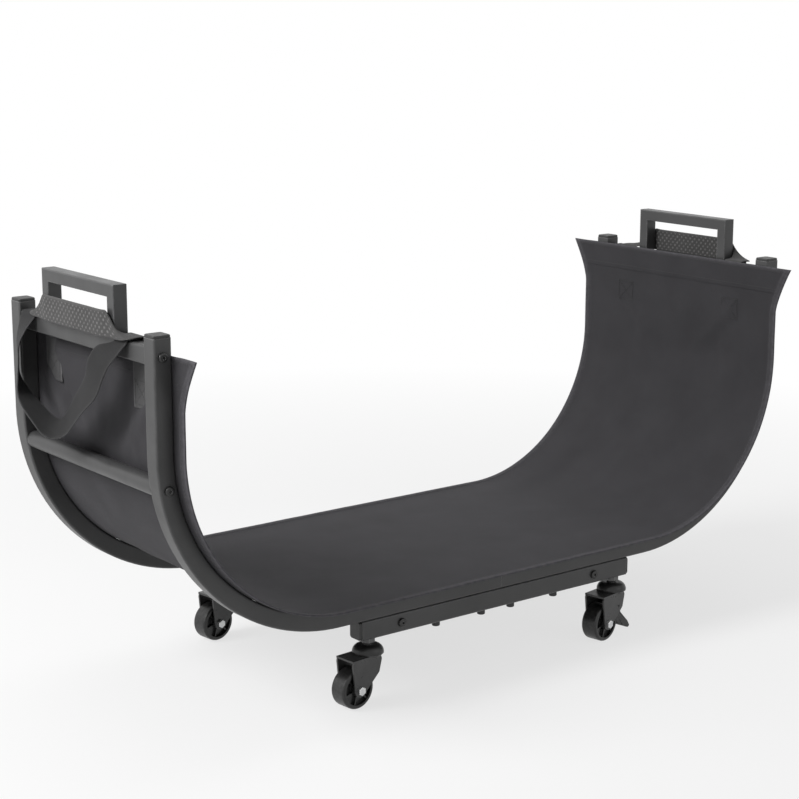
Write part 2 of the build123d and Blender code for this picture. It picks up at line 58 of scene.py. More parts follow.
# %% Set the camera
CAMERA_PLACE = (-1.5572, -1.9785, 0.8755)
CAMERA_YAW = math.radians(37.59)
CAMERA_PITCH = math.radians(12.21)
FOCAL_PIXELS = 1918.3
PICTURE_SIDE = 799
SENSOR = 36.0

camera_data = bpy.data.cameras.new("studio_camera")
camera_data.sensor_fit = "HORIZONTAL"
camera_data.sensor_width = SENSOR
camera_data.lens = FOCAL_PIXELS / PICTURE_SIDE * SENSOR
camera_data.clip_end = 30.0
camera = bpy.data.objects.new("studio_camera", camera_data)
camera.location = CAMERA_PLACE
camera.rotation_euler = (math.pi / 2 - CAMERA_PITCH, 0.0, -CAMERA_YAW)
bpy.context.scene.collection.objects.link(camera)
bpy.context.scene.camera = camera
print("lens", round(camera_data.lens, 1), "mm")

# %% [markdown]
# ## A small kit for materials
# Every finish here is one Principled shader with a few textures in front of it. The helper below
# keeps the wiring short: it makes nodes, sets their inputs by name and links them.


# %% Helpers for node materials
MIX_FIRST, MIX_SECOND, MIX_RESULT = 6, 7, 2
BEVEL_SAMPLES = 4


class Finish:
    """One procedural material, built node by node."""

    def __init__(self, name, metallic=0.0, specular=0.5):
        self.material = bpy.data.materials.new(name)
        self.material.use_nodes = True
        self.tree = self.material.node_tree
        self.shader = self.tree.nodes["Principled BSDF"]
        self.shader.inputs["Metallic"].default_value = metallic
        self.shader.inputs["Specular IOR Level"].default_value = specular

    def add(self, kind, settings=None, **values):
        """Add a node; settings are its options, values its inputs by name or as i0, i1 and so on."""
        node = self.tree.nodes.new("ShaderNode" + kind)
        for option, value in (settings or {}).items():
            setattr(node, option, value)
        for label, value in values.items():
            numbered = label[0] == "i" and label[1:].isdigit()
            self.feed(node.inputs[int(label[1:]) if numbered else label], value)
        return node

    def feed(self, socket, value):
        if isinstance(value, bpy.types.NodeSocket):
            self.tree.links.new(value, socket)
        else:
            socket.default_value = value

    def maths(self, kind, first, second=0.5, third=0.5):
        """One Math node: ADD, MULTIPLY, SINE and so on."""
        return self.add("Math", {"operation": kind}, i0=first, i1=second, i2=third).outputs[0]

    def blotches(self, place, size, detail=3.0, roughness=0.6):
        """Soft noise whose patches are about size metres across."""
        return self.add("TexNoise", Vector=place, Scale=1.0 / size, Detail=detail,
                        Roughness=roughness).outputs[0]

    def ramp(self, value, low, high, to_low=0.0, to_high=1.0):
        """Stretch a value from one range to another, clamped."""
        return self.add("MapRange", i0=value, i1=low, i2=high, i3=to_low, i4=to_high).outputs[0]

    def mix(self, amount, first, second):
        node = self.add("Mix", {"data_type": "RGBA"}, i0=amount)
        self.feed(node.inputs[MIX_FIRST], first)
        self.feed(node.inputs[MIX_SECOND], second)
        return node.outputs[MIX_RESULT]

    def bump(self, height, depth, strength=1.0, under=None):
        node = self.add("Bump", Strength=strength, Distance=depth, Height=height)
        if under is not None:
            self.feed(node.inputs["Normal"], under)
        return node.outputs[0]

    def object_place(self):
        return self.add("TexCoord").outputs["Object"]

    def set(self, **values):
        for label, value in values.items():
            self.feed(self.shader.inputs[label.replace("_", " ")], value)
        return self.material


def shade(value, tint=(1.0, 1.0, 1.0)):
    """A display grey from 0 to 255 as a linear colour, with a slight tint."""
    grey = value / 255.0
    linear = grey / 12.92 if grey <= 0.04045 else ((grey + 0.055) / 1.055) ** 2.4
    return (linear * tint[0], linear * tint[1], linear * tint[2], 1.0)


def edge_light(finish, radius):
    """Soften the sharp edges of a CAD part and find them: (normal, mask where an edge highlight is painted).
    """
    rounded = finish.add("Bevel", {"samples": BEVEL_SAMPLES}, Radius=radius).outputs[0]
    flat = finish.add("NewGeometry").outputs["Normal"]
    facing = finish.add("VectorMath", {"operation": "DOT_PRODUCT"}, i0=rounded, i1=flat).outputs["Value"]
    return rounded, finish.ramp(facing, 0.999, 0.93)


# %% [markdown]
# ## Powder-coated steel
# Powder coat is a baked plastic skin. It is charcoal rather than black, it has a satin gloss, and
# close up it is faintly bumpy like orange peel. On the corners of the tube a lighter grey is painted
# in as a highlight. A Bevel node finds those edges without changing the mesh, and noise breaks the
# painted highlight up.


# %% Make the powder coat
# The third grey is a painted highlight for the edges of the tube.
COAT_DARK, COAT_LIGHT, COAT_EDGE_HIGHLIGHT = (shade(grey, (1, 1, 1.01)) for grey in (54, 62, 124))


def powder_coat():
    coat = Finish("powder_coat", specular=0.5)
    place = coat.object_place()
    rounded, edge = edge_light(coat, 0.0018)
    patches = coat.blotches(place, 0.09)
    uneven = coat.ramp(coat.blotches(place, 0.012, 4.0), 0.3, 0.65, 0.35, 1.0)
    body = coat.mix(coat.ramp(patches, 0.35, 0.65), COAT_DARK, COAT_LIGHT)
    # Painted highlight: the edges of the tube turn light grey, broken up by noise.
    colour = coat.mix(coat.maths("MULTIPLY", edge, uneven), body, COAT_EDGE_HIGHLIGHT)
    peel = coat.blotches(place, 0.0011, 2.0)
    roughness = coat.ramp(coat.blotches(place, 0.03, 4.0), 0.3, 0.7, 0.33, 0.45)
    relief = coat.bump(peel, 0.00008, 0.6, under=rounded)
    return coat.set(Base_Color=colour, Roughness=roughness, Normal=relief)


powder = powder_coat()
print("frame finish:", powder.name)

# %% [markdown]
# ## Bolts, zinc and bare steel
# The button heads are blackened steel, a little shinier than the frame. The axle bolts and the
# nuts on the caster stems are zinc plated: light grey, metallic, with fine turning rings and a
# cloudy tarnish. The hidden splice sleeves are bare steel.


# %% Make the small metals
def black_bolt():
    bolt = Finish("blackened_bolt", metallic=0.7)
    place = bolt.object_place()
    rounded, edge = edge_light(bolt, 0.0005)
    # Painted highlight: the edges of the bolt heads are mixed to a light grey.
    colour = bolt.mix(edge, shade(58), shade(150))
    roughness = bolt.ramp(bolt.blotches(place, 0.004), 0.3, 0.7, 0.28, 0.42)
    relief = bolt.bump(bolt.blotches(place, 0.0006), 0.00003, 0.5, under=rounded)
    return bolt.set(Base_Color=colour, Roughness=roughness, Normal=relief)


def zinc_plate():
    zinc = Finish("zinc_plate", metallic=1.0)
    place = zinc.object_place()
    rounded, edge = edge_light(zinc, 0.0004)
    cloud = zinc.blotches(place, 0.006, 5.0)
    colour = zinc.mix(zinc.ramp(cloud, 0.35, 0.65), (0.50, 0.51, 0.53, 1), (0.66, 0.66, 0.65, 1))
    roughness = zinc.ramp(cloud, 0.3, 0.7, 0.26, 0.42)
    # Painted highlight: the edges of the zinc parts are mixed to a light grey.
    colour = zinc.mix(edge, colour, (0.8, 0.8, 0.8, 1))
    relief = zinc.bump(zinc.blotches(place, 0.0008), 0.00003, 0.4, under=rounded)
    return zinc.set(Base_Color=colour, Roughness=roughness, Normal=relief)


def bare_steel():
    steel = Finish("bare_steel", metallic=1.0)
    place = steel.object_place()
    long_grain = steel.add("Mapping", i0=place, i3=(4.0, 120.0, 120.0)).outputs[0]
    grain = steel.add("TexNoise", Vector=long_grain, Scale=8.0, Detail=3.0).outputs[0]
    colour = steel.mix(grain, (0.30, 0.31, 0.32, 1), (0.44, 0.44, 0.45, 1))
    roughness = steel.ramp(grain, 0.3, 0.7, 0.35, 0.5)
    return steel.set(Base_Color=colour, Roughness=roughness, Normal=steel.bump(grain, 0.00003, 0.5))


NUT_FROM, NUT_FULL = 0.0785, 0.0790


def stem_steel():
    """The caster stems: black ball cup and rivet, with a brighter nut above the cup."""
    stem = Finish("stem_steel", metallic=0.5)
    place = stem.object_place()
    rounded, edge = edge_light(stem, 0.0006)
    height = stem.add("SeparateXYZ", i0=place).outputs[2]
    nut = stem.ramp(height, NUT_FROM, NUT_FULL)
    # Painted highlight: the edges of the stem parts are mixed to a lighter grey.
    colour = stem.mix(edge, stem.mix(nut, shade(48), shade(92)), shade(135))
    roughness = stem.ramp(stem.blotches(place, 0.004), 0.3, 0.7, 0.3, 0.44)
    relief = stem.bump(stem.blotches(place, 0.0007), 0.00003, 0.5, under=rounded)
    return stem.set(Base_Color=colour, Roughness=roughness, Normal=relief)


bolt_black = black_bolt()
zinc = zinc_plate()
steel = bare_steel()
stem_metal = stem_steel()
print("metals:", [metal.name for metal in (bolt_black, zinc, steel, stem_metal)])

# %% [markdown]
# ## Plastic, yokes and wheels
# The plugs and the pedals are moulded black plastic with a fine spark-eroded grain. The yokes are
# pressed steel with a thicker, glossier black paint. Each wheel is hard black plastic with a
# slightly softer, scuffed tread: the scuffing depends on how far a point lies from the axle.


# %% Make the plastics and the wheels
# How much lighter the painted edge highlight on the plastics is.
EDGE_HIGHLIGHT_LIFT = 45
TREAD_FROM, TREAD_FULL = 0.0235, 0.0246


def moulded_plastic(name, dark, light, rough_low, rough_high, grain_depth):
    plastic = Finish(name, specular=0.5)
    place = plastic.object_place()
    rounded, edge = edge_light(plastic, 0.0008)
    grain = plastic.blotches(place, 0.0007, 2.0)
    patches = plastic.ramp(plastic.blotches(place, 0.02), 0.35, 0.65)
    body = plastic.mix(patches, shade(dark), shade(light))
    # Painted highlight: the edges of the plastic parts are mixed lighter.
    colour = plastic.mix(plastic.maths("MULTIPLY", edge, 0.35), body, shade(light + EDGE_HIGHLIGHT_LIFT))
    roughness = plastic.ramp(plastic.blotches(place, 0.008), 0.3, 0.7, rough_low, rough_high)
    relief = plastic.bump(grain, grain_depth, 0.7, under=rounded)
    return plastic.set(Base_Color=colour, Roughness=roughness, Normal=relief)


def wheel_rubber(name, hub_place, axle_way):
    """Glossy hub and face, scuffed tread; hub_place and axle_way are the wheel's own."""
    wheel = Finish(name, specular=0.5)
    place = wheel.object_place()
    from_hub = wheel.add("VectorMath", {"operation": "SUBTRACT"}, i0=place, i1=hub_place).outputs[0]
    around = wheel.add("VectorMath", {"operation": "CROSS_PRODUCT"}, i0=from_hub, i1=axle_way).outputs[0]
    radius = wheel.add("VectorMath", {"operation": "LENGTH"}, i0=around).outputs["Value"]
    tread = wheel.ramp(radius, TREAD_FROM, TREAD_FULL)
    scuff = wheel.maths("MULTIPLY", tread, wheel.ramp(wheel.blotches(place, 0.004, 5.0), 0.4, 0.7))
    colour = wheel.mix(scuff, shade(26), shade(58, (1, 0.99, 0.97)))
    face_roughness = wheel.ramp(wheel.blotches(place, 0.01), 0.3, 0.7, 0.26, 0.36)
    roughness = wheel.maths("ADD", wheel.maths("MULTIPLY", tread, 0.08), face_roughness)
    rounded = wheel.add("Bevel", {"samples": BEVEL_SAMPLES}, Radius=0.0006).outputs[0]
    relief = wheel.bump(wheel.blotches(place, 0.0012, 3.0), 0.00008, 0.6, under=rounded)
    return wheel.set(Base_Color=colour, Roughness=roughness, Normal=relief)


plug_plastic = moulded_plastic("plug_plastic", 30, 40, 0.42, 0.55, 0.00005)
pedal_plastic = moulded_plastic("pedal_plastic", 34, 44, 0.36, 0.5, 0.00005)
yoke_paint = moulded_plastic("yoke_paint", 58, 68, 0.26, 0.36, 0.00003)
print("plastics:", [plastic.name for plastic in (plug_plastic, pedal_plastic, yoke_paint)])

# %% Put the finishes on the CAD parts
nodes = frame["nodes"]
joints = {joint["name"]: joint for joint in frame["joints"]}
finish_of = {"hoop_splice": steel, "caster_stems": stem_metal, "beam_end_plugs": plug_plastic,
             "upright_plugs": plug_plastic, "_bolts": bolt_black, "_fork": yoke_paint, "_axle": zinc,
             "_brake_pedal": pedal_plastic}


def dress(node, material):
    """Give every material slot of a CAD node one finish."""
    mesh = nodes[node].data
    mesh.materials.clear()
    mesh.materials.append(material)


rigid_nodes = [node for node in nodes if not node.startswith("tote_")]
for node in rigid_nodes:
    chosen = [material for part, material in finish_of.items() if part in node]
    if node.endswith("_wheel"):
        joint = joints["wheel_" + node.split("_")[1]]
        chosen = [wheel_rubber(node + "_rubber", joint["pos_m"], joint["axis"])]
    dress(node, chosen[0] if chosen else powder)
print("dressed", len(rigid_nodes), "CAD nodes")

# %% [markdown]
# ## Woven cloth that follows its own surface
# Canvas and webbing are woven, so their pattern runs along the cloth, not along the room. Each
# sewn piece therefore carries a UV map in metres, u across and v along the cloth, and the weave is
# two crossing waves on that map. A second attribute, wear, is 1 on folded and rubbed edges, where
# black cloth goes grey.


# %% Make the cloth finishes
def weave(cloth, place, across, along, twill=0.0):
    """Height of a weave: threads across and along cross over and under by turns."""
    split = cloth.add("SeparateXYZ", i0=place)
    u = cloth.maths("MULTIPLY", split.outputs[0], 2 * math.pi / across)
    v = cloth.maths("MULTIPLY", split.outputs[1], 2 * math.pi / along)
    u = cloth.maths("ADD", u, cloth.maths("MULTIPLY", v, twill))
    crossing = cloth.maths("MULTIPLY", cloth.maths("SINE", u), cloth.maths("SINE", v))
    return cloth.maths("MULTIPLY_ADD", crossing, 0.5, 0.5)


CLOTH_ROUGHNESS = 0.82
SLUB_STRETCH, SLUB_SCALE = (1.0, 9.0, 1.0), 240.0


def cloth_finish(name, dark, light, worn, tint, across, along, depth, sheen, twill=0.0):
    """A woven cloth: three greys, a tint, the two thread pitches, the relief depth and the sheen."""
    cloth = Finish(name, specular=0.3)
    place = cloth.add("UVMap", {"uv_map": "cloth"}).outputs[0]
    wear = cloth.add("Attribute", {"attribute_name": "wear"}).outputs["Fac"]
    pattern = weave(cloth, place, across, along, twill)
    clouds = cloth.blotches(place, 0.07, 4.0)
    stretched = cloth.add("Mapping", i0=place, i3=SLUB_STRETCH).outputs[0]
    slubs = cloth.add("TexNoise", Vector=stretched, Scale=SLUB_SCALE, Detail=2.0).outputs[0]
    tone = cloth.maths("ADD", cloth.ramp(clouds, 0.3, 0.7, 0.0, 0.6),
                        cloth.ramp(slubs, 0.3, 0.7, 0.0, 0.25))
    tone = cloth.maths("ADD", tone, cloth.maths("MULTIPLY", pattern, 0.15))
    body = cloth.mix(tone, shade(dark, tint), shade(light, tint))
    uneven = cloth.ramp(cloth.blotches(place, 0.008, 4.0), 0.3, 0.7, 0.35, 1.0)
    colour = cloth.mix(cloth.maths("MULTIPLY", wear, uneven), body, shade(worn, tint))
    fuzz = cloth.blotches(place, 0.0005, 2.0)
    height = cloth.maths("ADD", pattern, cloth.maths("MULTIPLY", fuzz, 0.5))
    cloth.shader.inputs["Sheen Weight"].default_value = sheen
    cloth.shader.inputs["Sheen Roughness"].default_value = 0.5
    cloth.shader.inputs["Sheen Tint"].default_value = (0.85, 0.84, 0.9, 1.0)
    return cloth.set(Base_Color=colour, Roughness=CLOTH_ROUGHNESS, Normal=cloth.bump(height, depth, 0.8))


WEBBING = {"tint": (1.0, 0.99, 1.01), "across": 0.0026, "along": 0.0017, "depth": 0.00035, "twill": 0.5}
canvas_cloth = cloth_finish("waxed_canvas", dark=46, light=57, worn=92, tint=(1.0, 0.965, 1.06),
                            across=0.0011, along=0.0011, depth=0.00022, sheen=0.04)
webbing_cloth = cloth_finish("black_webbing", dark=28, light=42, worn=70, sheen=0.03, **WEBBING)
# The tabs are the same webbing as the straps in lighter greys: painted light where the key lamp falls on
# them.
tab_cloth_painted_lit = cloth_finish("tab_webbing_painted_lit", dark=62, light=80, worn=108, sheen=0.04, **WEBBING)
grip_cloth = cloth_finish("dotted_grip", dark=62, light=76, worn=128, tint=(1.02, 1.0, 0.99),
                          across=0.0012, along=0.0012, depth=0.00015, sheen=0.05)


def thread_finish():
    thread = Finish("sewing_thread", specular=0.35)
    place = thread.object_place()
    twist = thread.blotches(place, 0.0006, 2.0)
    return thread.set(Base_Color=thread.mix(twist, shade(40), shade(76)), Roughness=0.6,
                      Normal=thread.bump(twist, 0.0001, 0.8))


thread_black = thread_finish()
print("cloths:", [c.name for c in (canvas_cloth, webbing_cloth, tab_cloth_painted_lit, grip_cloth, thread_black)])

# %% [markdown]
# ## Meshes from a grid
# Every sewn piece is a sheet that bends: a grid of points, with a thickness that grows where the
# cloth is folded over. The helper below takes the middle surface as a grid, moves it out and in
# along its normals, and closes the rim, so that each piece is one closed skin with its faces
# pointing outwards.


# %% A closed cloth shell from a grid
def grid_normals(grid):
    along = np.gradient(grid, axis=0)
    across = np.gradient(grid, axis=1)
    normal = np.cross(across, along)
    return normal / np.maximum(np.linalg.norm(normal, axis=2, keepdims=True), 1e-12)


def cloth_shell(name, grid, front, back, u, v, wear, material):
    """A closed shell: grid[i, j] moved by front and back (metres) along its normals."""
    rows, columns = grid.shape[:2]
    normal = grid_normals(grid)
    outer = grid + normal * front[..., None]
    inner = grid - normal * back[..., None]
    points = np.concatenate([outer.reshape(-1, 3), inner.reshape(-1, 3)])
    count = rows * columns
    index = np.arange(count).reshape(rows, columns)
    a, b = index[:-1, :-1].ravel(), index[:-1, 1:].ravel()
    c, d = index[1:, 1:].ravel(), index[1:, :-1].ravel()
    faces = [np.stack([a, b, c, d], 1), np.stack([d, c, b, a], 1) + count]
    rim = np.concatenate([index[0, :], index[1:, -1], index[-1, :-1][::-1], index[1:-1, 0][::-1]])
    following = np.roll(rim, -1)
    faces.append(np.stack([following, rim, rim + count, following + count], 1))
    faces = np.concatenate(faces)
    mesh = bpy.data.meshes.new(name)
    mesh.from_pydata(points.tolist(), [], faces.tolist())
    mesh.materials.append(material)
    flat_u, flat_v, flat_wear = (np.tile(part.ravel(), 2) for part in (u, v, wear))
    corner = np.empty(len(mesh.loops), dtype=np.int64)
    mesh.loops.foreach_get("vertex_index", corner)
    layer = mesh.uv_layers.new(name="cloth")
    layer.data.foreach_set("uv", np.stack([flat_u[corner], flat_v[corner]], 1).astype(np.float32).ravel())
    mesh.attributes.new("wear", "FLOAT", "POINT").data.foreach_set("value", flat_wear.astype(np.float32))
    mesh.polygons.foreach_set("use_smooth", np.ones(len(mesh.polygons), dtype=bool))
    mesh.update()
    piece = bpy.data.objects.new(name, mesh)
    bpy.context.scene.collection.objects.link(piece)
    volume = signed_volume(mesh)
    if volume < 0:
        mesh.flip_normals()
    print(f"{name}: {len(mesh.polygons)} faces, {abs(volume) * 1e6:.1f} cm3")
    return piece


def signed_volume(mesh):
    mesh.calc_loop_triangles()
    corners = np.empty(len(mesh.loop_triangles) * 3, dtype=np.int64)
    mesh.loop_triangles.foreach_get("vertices", corners)
    points = np.empty(len(mesh.vertices) * 3)
    mesh.vertices.foreach_get("co", points)
    a, b, c = points.reshape(-1, 3)[corners].reshape(-1, 3, 3).transpose(1, 0, 2)
    return float(np.einsum("ij,ij->i", a, np.cross(b, c)).sum() / 6.0)


def smooth_noise(points, size, seed):
    """Perlin noise at each point, for folds that never repeat and never change."""
    shift = Vector((seed * 7.3, seed * 3.1, seed * 5.7))
    flat = points.reshape(-1, 3)
    values = [noise.noise(Vector(point) / size + shift) for point in flat]
    return np.array(values).reshape(points.shape[:-1])


def smooth_step(value, low, high):
    t = np.clip((value - low) / (high - low), 0.0, 1.0)
    return t * t * (3 - 2 * t)


# %% [markdown]
# ## The canvas trough
# The real trough is one length of heavy canvas, hemmed all round, that lies in the curve of the
# hoops. It follows a rule, straight down, round a bend, along the bottom and up again, so its
# grid is worked out from the distance along that path. The folds come on top: the front and back
# edges roll inwards, the ends widen above the bend, the cloth creases from the corners where the
# tabs pull, and it sags a little between the hoops.

# %% The path of the trough
HOOP_TOP_LEFT, HOOP_TOP_RIGHT = 0.4730, 0.4880
BEND_X, BEND_Z = 0.2585, 0.3595
CLOTH_RADIUS = 0.2255
CLOTH_X = BEND_X + CLOTH_RADIUS
ARC = CLOTH_RADIUS * math.pi / 2
LEFT_RISE = HOOP_TOP_LEFT - BEND_Z
RIGHT_RISE = HOOP_TOP_RIGHT - BEND_Z
FLAT = 2 * BEND_X
PATH_LENGTH = LEFT_RISE + ARC + FLAT + ARC + RIGHT_RISE
HEM = 0.036
HALF_WIDTH, HALF_TOP = 0.1940, 0.2190
FLARE_DEPTH, FLARE_POWER = 0.062, 1.4
HOOP_Y = 0.1615


def trough_point(s):
    """Place on the path at distance s from the left top, and the outward direction there."""
    if s < LEFT_RISE:
        return (-CLOTH_X, HOOP_TOP_LEFT - s), (-1.0, 0.0)
    s -= LEFT_RISE
    if s < ARC:
        turn = s / CLOTH_RADIUS
        return ((-BEND_X - CLOTH_RADIUS * math.cos(turn), BEND_Z - CLOTH_RADIUS * math.sin(turn)),
                (-math.cos(turn), -math.sin(turn)))
    s -= ARC
    if s < FLAT:
        return (-BEND_X + s, BEND_Z - CLOTH_RADIUS), (0.0, -1.0)
    s -= FLAT
    if s < ARC:
        turn = s / CLOTH_RADIUS
        return ((BEND_X + CLOTH_RADIUS * math.sin(turn), BEND_Z - CLOTH_RADIUS * math.cos(turn)),
                (math.sin(turn), -math.cos(turn)))
    return (CLOTH_X, BEND_Z + s - ARC), (1.0, 0.0)


print("trough path", round(PATH_LENGTH, 4), "m")

# %% Shape the canvas
SIDE_HEM, EDGE_ZONE = 0.010, 0.036
EDGE_ROLL, ROLL_ZONE = 0.0008, 0.016
FREE_HALF = 0.146
BELLY, CREASE = 0.0015, 0.0022
stops = np.concatenate([
    np.linspace(0, 0.002, 3), np.linspace(0.005, HEM - 0.0015, 8), np.linspace(HEM, HEM + 0.002, 3),
    np.linspace(HEM + 0.005, PATH_LENGTH - HEM - 0.005, 270),
    PATH_LENGTH - np.linspace(HEM + 0.002, HEM, 3), PATH_LENGTH - np.linspace(HEM - 0.0015, 0.005, 8),
    PATH_LENGTH - np.linspace(0.002, 0, 3)])
edge_part = np.array([0.0, 0.0008, 0.0025, 0.0045, 0.0065, 0.0082, 0.0092, 0.0103, 0.0116, 0.014,
                      0.017, 0.021, 0.026, 0.031])
middle_part = np.linspace(EDGE_ZONE, 2 * HALF_WIDTH - EDGE_ZONE, 74)
spread = np.concatenate([edge_part, middle_part, 2 * HALF_WIDTH - edge_part[::-1]]) - HALF_WIDTH

path = np.array([trough_point(s)[0] for s in stops])
out = np.array([trough_point(s)[1] for s in stops])
from_end = np.minimum(stops, PATH_LENGTH - stops)
top = np.clip((FLARE_DEPTH - from_end) / FLARE_DEPTH, 0, 1)
half = HALF_WIDTH + (HALF_TOP - HALF_WIDTH) * top ** FLARE_POWER
y = spread[None, :] / HALF_WIDTH * half[:, None]
grid = np.empty((len(stops), len(spread), 3))
grid[..., 0] = path[:, 0][:, None]
grid[..., 1] = y
grid[..., 2] = path[:, 1][:, None]

inset = half[:, None] - np.abs(y)
roll = EDGE_ROLL * smooth_step(ROLL_ZONE - inset, 0.0, ROLL_ZONE) * (1 - smooth_step(top, 0.0, 0.55))[:, None]
flat_noise = smooth_noise(grid, 0.055, 1)
wide_noise = smooth_noise(grid, 0.16, 2)
sag_zone = smooth_step(FREE_HALF - np.abs(y), 0.0, 0.05)
on_side = smooth_step(np.abs(path[:, 0]), 0.30, 0.44)[:, None] * np.ones_like(y)
belly = BELLY * sag_zone * (0.4 + wide_noise)
creases = CREASE * sag_zone * flat_noise * (0.35 + 0.65 * on_side)
print("canvas grid", grid.shape[0], "x", grid.shape[1])


# %% [markdown]
# Creases run slantwise down from the corners where the tabs pull. Each is a soft ridge, or a valley,
# along a line drawn on the cloth: the distance from that line sets its height. Where the cloth
# passes the tie tube it is kept from bulging, and between the tubes its top edge curls inwards.


# %% Creases drawn on the cloth
def ridge(y, z, start, end, width, height):
    """A soft fold along the line from start to end, both (y, z), fading at its ends."""
    line = np.array(end) - np.array(start)
    length = np.linalg.norm(line)
    line = line / length
    dy, dz = y - start[0], z - start[1]
    run = (dy * line[0] + dz * line[1]) / length
    off = dy * line[1] - dz * line[0]
    fade = smooth_step(run, -0.1, 0.2) * (1 - smooth_step(run, 0.7, 1.1))
    return height * np.exp(-(off / width) ** 2) * fade


# From y, z to y, z, then the width and the height; a height below zero is a valley.
PULL_LINES = [(0.135, 0.425, 0.055, 0.335, 0.010, 0.0024), (0.118, 0.430, 0.030, 0.345, 0.009, -0.0022),
              (0.080, 0.400, 0.095, 0.300, 0.007, 0.0014), (0.020, 0.440, 0.010, 0.340, 0.012, -0.0014)]
RIGHT_SHARE = 0.45
TIE_Z, TIE_REACH = 0.320, 0.020
MOST_INWARD, MOST_OUTWARD = -0.006, 0.0032
TOP_CURL = 0.0022

height_z = grid[..., 2]
pulls = np.zeros_like(y)
for sign in (-1, 1):
    for start_y, start_z, end_y, end_z, width, rise in PULL_LINES:
        pulls += ridge(y, height_z, (sign * start_y, start_z), (sign * end_y, end_z), width, rise)
pulls *= on_side * np.where(grid[..., 0] > 0, RIGHT_SHARE, 1.0)

near_tie = np.exp(-((height_z - TIE_Z) / TIE_REACH) ** 2) * on_side
outward = np.clip(belly + creases + pulls, MOST_INWARD, MOST_OUTWARD)
outward = np.where(outward > 0, outward * (1 - 0.9 * near_tie), outward)
edge_ripple = smooth_noise(grid * np.array([1.0, 0.2, 1.0]), 0.035, 3)
outward = outward - roll * (1.0 + 0.35 * edge_ripple)
hem_wave = smooth_noise(grid * np.array([0.1, 1.0, 0.1]), 0.06, 4)
off_hoop = smooth_step(np.abs(np.abs(y) - HOOP_Y), 0.012, 0.030)
outward = outward - TOP_CURL * (top ** 1.5)[:, None] * (0.5 + hem_wave) * off_hoop
grid[..., 0] += out[:, 0][:, None] * outward
grid[..., 2] += out[:, 1][:, None] * outward

HALF_THICK, HEM_OUT, HEM_IN = 0.0007, 0.0002, 0.0011
from_rim = np.minimum(inset, from_end[:, None])
hem_top = smooth_step(HEM + 0.001 - from_end, 0.0, 0.0015)[:, None]
hem_side = smooth_step(SIDE_HEM - inset, 0.0, 0.0012)
doubled = np.maximum(hem_top * np.ones_like(y), hem_side)
rim_share = 0.35 + 0.65 * smooth_step(from_rim, -0.0002, 0.0012)
outside = (HALF_THICK + HEM_OUT * doubled) * rim_share
inside = (HALF_THICK + HEM_IN * doubled) * rim_share
fold_edge = 1 - smooth_step(from_rim, 0.001, 0.004)
seam_edge = np.exp(-((inset - SIDE_HEM) / 0.0016) ** 2)
wear = np.clip(0.75 * fold_edge + 0.3 * seam_edge + 0.4 * hem_side, 0, 1)
v = stops[:, None] * np.ones_like(y)
trough = cloth_shell("tote_trough_cloth", grid, outside, inside, y, v, wear, canvas_cloth)

# %% [markdown]
# ## Webbing
# Webbing is a flat woven band with thick, rounded edges. Its middle line is a smooth curve through
# a few places measured in millimetres, and at each place the band also has a direction for its
# width, so it can lie flat on the bar, twist, and stand on edge. The same helper makes the straps
# and the tabs.


# %% A band from a few measured places
STEPS_PER_SPAN = 24


def smooth_through(stations, count):
    """A Catmull-Rom curve through rows of numbers, spaced evenly along its first three."""
    rows = np.array(stations, dtype=float)
    rows = np.vstack([2 * rows[0] - rows[1], rows, 2 * rows[-1] - rows[-2]])
    fine = []
    for i in range(1, len(rows) - 2):
        p0, p1, p2, p3 = rows[i - 1:i + 3]
        for t in np.linspace(0, 1, STEPS_PER_SPAN, endpoint=False):
            fine.append(0.5 * (2 * p1 + (p2 - p0) * t + (2 * p0 - 5 * p1 + 4 * p2 - p3) * t * t
                               + (3 * p1 - p0 - 3 * p2 + p3) * t ** 3))
    fine.append(rows[-2])
    fine = np.array(fine)
    travelled = np.concatenate([[0], np.cumsum(np.linalg.norm(np.diff(fine[:, :3], axis=0), axis=1))])
    wanted = np.linspace(0, travelled[-1], count)
    return np.stack([np.interp(wanted, travelled, column) for column in fine.T], 1), travelled[-1]


def band(name, stations, width, thick, material, step=0.003, widths=None):
    """A woven band; each station is x, y, z in millimetres and the direction of its width."""
    rough_length = sum(math.dist(a[:3], b[:3]) for a, b in zip(stations, stations[1:]))
    rows, length = smooth_through(stations, max(8, int(rough_length / 1000 / step)))
    centre, way = rows[:, :3] / 1000, rows[:, 3:6]
    way = way / np.linalg.norm(way, axis=1, keepdims=True)
    length /= 1000
    half_profile = np.array([0.25, 0.5, 0.75, 0.90, 0.95, 0.985, 1])
    profile = np.concatenate([-half_profile[::-1], [0], half_profile])
    scale = np.ones(len(rows)) if widths is None else np.interp(
        np.linspace(0, 1, len(rows)), [w[0] for w in widths], [w[1] for w in widths])
    u = profile[None, :] * width / 2 * scale[:, None]
    grid = centre[:, None, :] + way[:, None, :] * u[..., None]
    v = np.linspace(0, length, len(rows))[:, None] * np.ones_like(u)
    fall = np.sqrt(np.clip(1 - ((np.abs(profile) - 0.93) / 0.07).clip(0, 1) ** 2, 0.03, 1))
    selvage = 1 + 0.12 * np.exp(-((np.abs(profile) - 0.93) / 0.03) ** 2)
    half = (thick / 2 * fall * selvage)[None, :] * np.ones_like(u)
    ends = np.minimum(v, length - v)
    half = half * (0.5 + 0.5 * smooth_step(ends, 0.0, 0.0012))
    wear = (0.8 * smooth_step(np.abs(profile), 0.86, 0.97))[None, :] * np.ones_like(u)
    return cloth_shell(name, grid, half, half, u, v, wear, material)


def mirrored(stations, side):
    """Stations measured at the right-hand end, or the same at the left-hand end."""
    return [(side * x, y, z, side * a, b, c) for x, y, z, a, b, c in stations]


